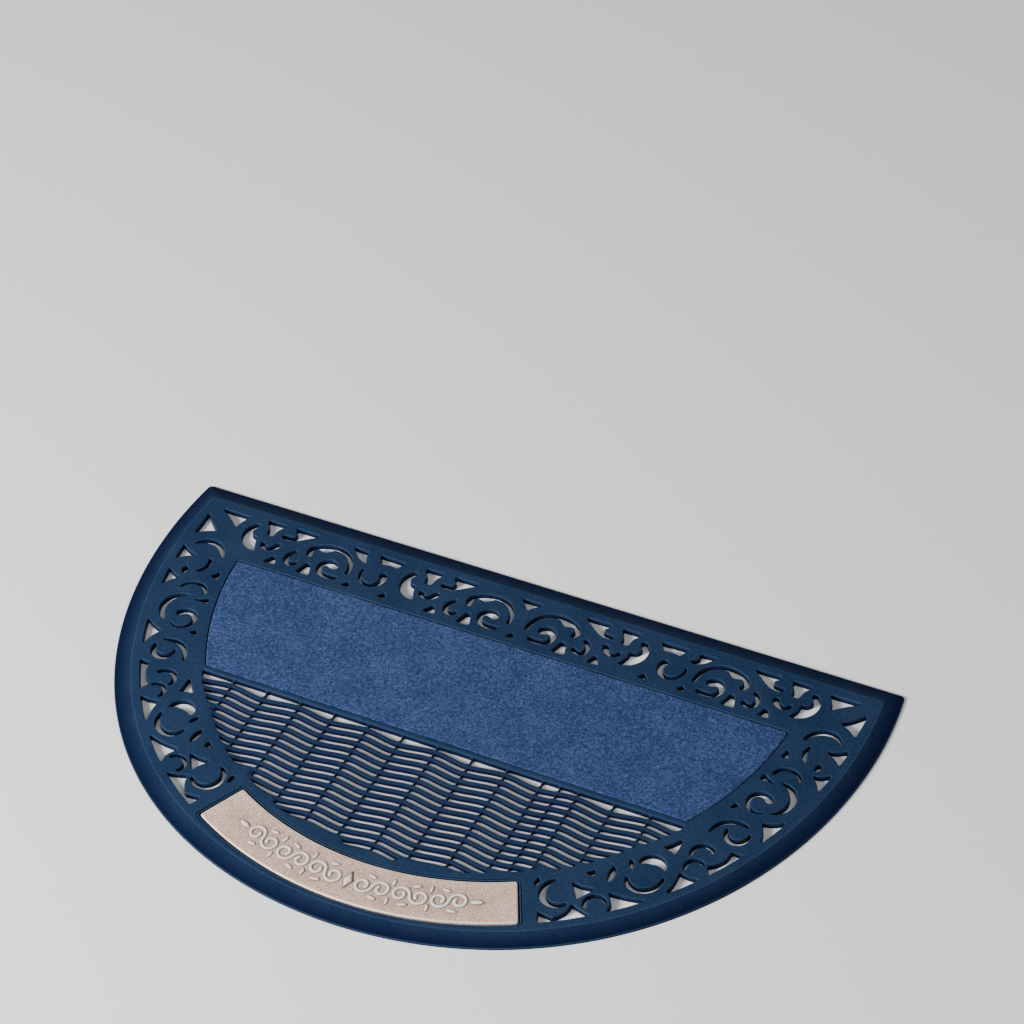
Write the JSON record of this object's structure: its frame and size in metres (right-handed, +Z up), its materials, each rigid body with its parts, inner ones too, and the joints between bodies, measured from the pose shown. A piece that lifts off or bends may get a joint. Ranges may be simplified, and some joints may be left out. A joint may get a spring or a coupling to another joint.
{
  "type": "doormat",
  "caption": "Half-round rubber doormat with a bevelled rim, pierced scrollwork border, wavy drainage grille, felt carpet insert and a raised ornamental plate.",
  "frame": {"origin": "on the floor, under the middle of the bounding box", "axes": "+X along the straight edge, +Y from the middle of the round edge towards the straight edge, +Z up"},
  "size_m": [0.7614, 0.45, 0.0069],
  "materials": {
    "rubber": "matt moulded navy rubber",
    "felt": "needle-punched felt, mottled blue",
    "plate": "sand-textured plate with a champagne metallic coat"
  },
  "bodies": {
    "root": {"rubber_mat": "rubber", "carpet_insert": "felt", "plaque": "plate"}
  },
  "joints": []
}
